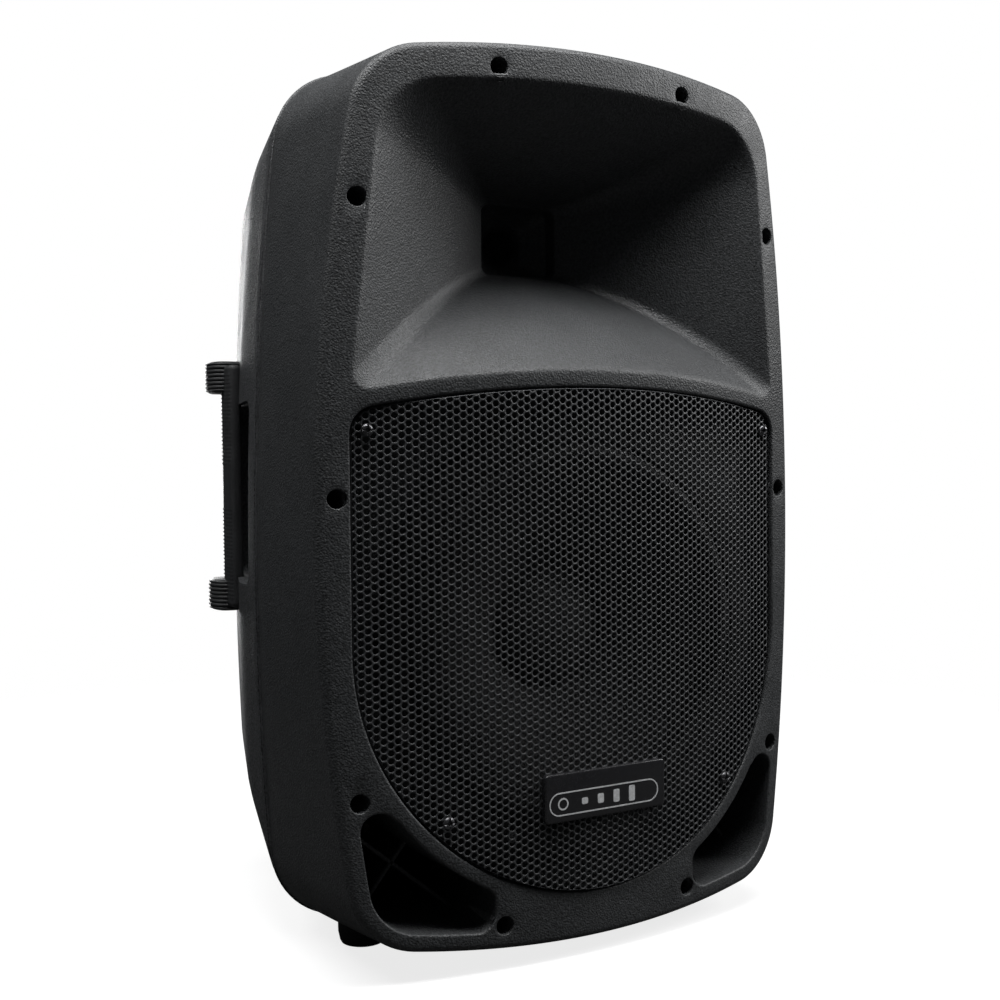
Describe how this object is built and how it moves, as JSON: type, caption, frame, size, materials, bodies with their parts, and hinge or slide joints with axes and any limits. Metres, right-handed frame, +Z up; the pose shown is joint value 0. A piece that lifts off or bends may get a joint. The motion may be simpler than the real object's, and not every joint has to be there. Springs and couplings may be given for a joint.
{
  "type": "pa speaker cabinet",
  "caption": "Powered two-way speaker cabinet: moulded shell, horn, woofer behind a curved perforated grille, side handles and a rear amplifier panel.",
  "frame": {"origin": "centre of the pole socket's mouth, in the underside of the cabinet", "axes": "+Z up, -Y out of the front face, +X to the right as seen from the front"},
  "size_m": [0.4024, 0.3376, 0.616],
  "materials": {
    "shell_plastic": "fine leather grain, satin",
    "grille_steel": "black powder coat",
    "badge_plate": "gloss black with a pale printed line",
    "handle_plastic": "ribbed grip, matt",
    "rubber_black": "matt",
    "black_steel": "black zinc plate",
    "plated_steel": "zinc plate",
    "paper_cone": "pressed paper",
    "surround_cloth": "coated cloth",
    "coil_copper": "varnished copper",
    "spider_cloth": "resin-dipped cloth",
    "ferrite": "sintered ferrite",
    "basket_metal": "black paint",
    "titanium_foil": "thin formed foil",
    "panel_aluminium": "black powder coat",
    "heat_sink_black": "black anodised",
    "circuit_board": "solder mask",
    "transformer_tape": "wound and taped",
    "capacitor_sleeve": "shrink sleeve",
    "knob_plastic": "satin, fluted",
    "socket_plastic": "satin",
    "latch_metal": "plated",
    "slider_plastic": "satin",
    "rocker_red": "gloss",
    "lens_green": "translucent",
    "cable_sleeve": "PVC",
    "wadding_fibre": "loose polyester fibre"
  },
  "bodies": {
    "cabinet": {"front_shell": "shell_plastic", "rear_shell": "shell_plastic", "shell_gasket": "rubber_black", "shell_screws": "black_steel", "grille": "grille_steel", "grille_screws": "black_steel", "badge": "badge_plate", "woofer_basket": "basket_metal", "woofer_gasket": "rubber_black", "woofer_surround": "surround_cloth", "spider": "spider_cloth", "woofer_top_plate": "plated_steel", "woofer_magnet": "ferrite", "woofer_yoke": "plated_steel", "woofer_terminals": "plated_steel", "woofer_screws": "black_steel", "driver_front_plate": "plated_steel", "driver_magnet": "ferrite", "driver_rear_plate": "plated_steel", "phase_plug": "socket_plastic", "driver_cover": "socket_plastic", "driver_screws": "plated_steel", "handle_left": "handle_plastic", "handle_right": "handle_plastic", "handle_screws": "black_steel", "rubber_feet": "rubber_black", "foot_screws": "plated_steel", "pole_cup": "socket_plastic", "pole_cup_screws": "plated_steel", "rigging_inserts": "plated_steel", "amp_panel": "panel_aluminium", "panel_screws": "black_steel", "heat_sink": "heat_sink_black", "amp_board": "circuit_board", "transformer": "transformer_tape", "filter_capacitors": "capacitor_sleeve", "control_board": "circuit_board", "pots": "plated_steel", "input_sockets": "socket_plastic", "output_socket": "socket_plastic", "mode_switch": "socket_plastic", "power_switch": "socket_plastic", "mains_inlet": "socket_plastic", "led_lenses": "lens_green", "wiring": "cable_sleeve", "wadding": "wadding_fibre"},
    "woofer_moving": {"woofer_cone": "paper_cone", "dust_cap": "paper_cone", "voice_coil": "coil_copper"},
    "driver_moving": {"driver_diaphragm": "titanium_foil"},
    "input_1_control": {"knob_input_1": "knob_plastic"},
    "input_2_control": {"knob_input_2": "knob_plastic"},
    "treble_control": {"knob_treble": "knob_plastic"},
    "bass_control": {"knob_bass": "knob_plastic"},
    "master_control": {"knob_master": "knob_plastic"},
    "latch_tab_1": {"latch_1": "latch_metal"},
    "latch_tab_2": {"latch_2": "latch_metal"},
    "mode_tab": {"mode_slider": "slider_plastic"},
    "rocker": {"power_rocker": "rocker_red"},
    "drawer": {"fuse_drawer": "knob_plastic"}
  },
  "joints": [
    {"name": "woofer_travel", "type": "slide", "parent": "cabinet", "child": "woofer_moving", "axis": [0, 1, 0], "range_m": [-0.006, 0.006], "stiffness_N_per_m": 2500, "deforming": ["woofer_surround", "spider"]},
    {"name": "driver_travel", "type": "slide", "parent": "cabinet", "child": "driver_moving", "axis": [0, 1, 0], "range_m": [-0.0004, 0.0004]},
    {"name": "input_1_turn", "type": "hinge", "parent": "cabinet", "child": "input_1_control", "pos_m": [-0.045, 0.13, 0.477], "axis": [0, 1, 0], "range_deg": [-150, 150]},
    {"name": "input_2_turn", "type": "hinge", "parent": "cabinet", "child": "input_2_control", "pos_m": [0.045, 0.13, 0.477], "axis": [0, 1, 0], "range_deg": [-150, 150]},
    {"name": "treble_turn", "type": "hinge", "parent": "cabinet", "child": "treble_control", "pos_m": [-0.045, 0.13, 0.39], "axis": [0, 1, 0], "range_deg": [-150, 150]},
    {"name": "bass_turn", "type": "hinge", "parent": "cabinet", "child": "bass_control", "pos_m": [0, 0.13, 0.39], "axis": [0, 1, 0], "range_deg": [-150, 150]},
    {"name": "master_turn", "type": "hinge", "parent": "cabinet", "child": "master_control", "pos_m": [0.045, 0.13, 0.39], "axis": [0, 1, 0], "range_deg": [-150, 150]},
    {"name": "latch_1_press", "type": "slide", "parent": "cabinet", "child": "latch_tab_1", "axis": [0, -1, 0], "range_m": [0, 0.0015]},
    {"name": "latch_2_press", "type": "slide", "parent": "cabinet", "child": "latch_tab_2", "axis": [0, -1, 0], "range_m": [0, 0.0015]},
    {"name": "mode_slide", "type": "slide", "parent": "cabinet", "child": "mode_tab", "axis": [1, 0, 0], "range_m": [0, 0.0058]},
    {"name": "rocker_tilt", "type": "hinge", "parent": "cabinet", "child": "rocker", "pos_m": [0.042, 0.116, 0.13], "axis": [1, 0, 0], "range_deg": [0, 14]},
    {"name": "fuse_drawer_slide", "type": "slide", "parent": "cabinet", "child": "drawer", "axis": [0, 1, 0], "range_m": [0, 0.014]}
  ]
}
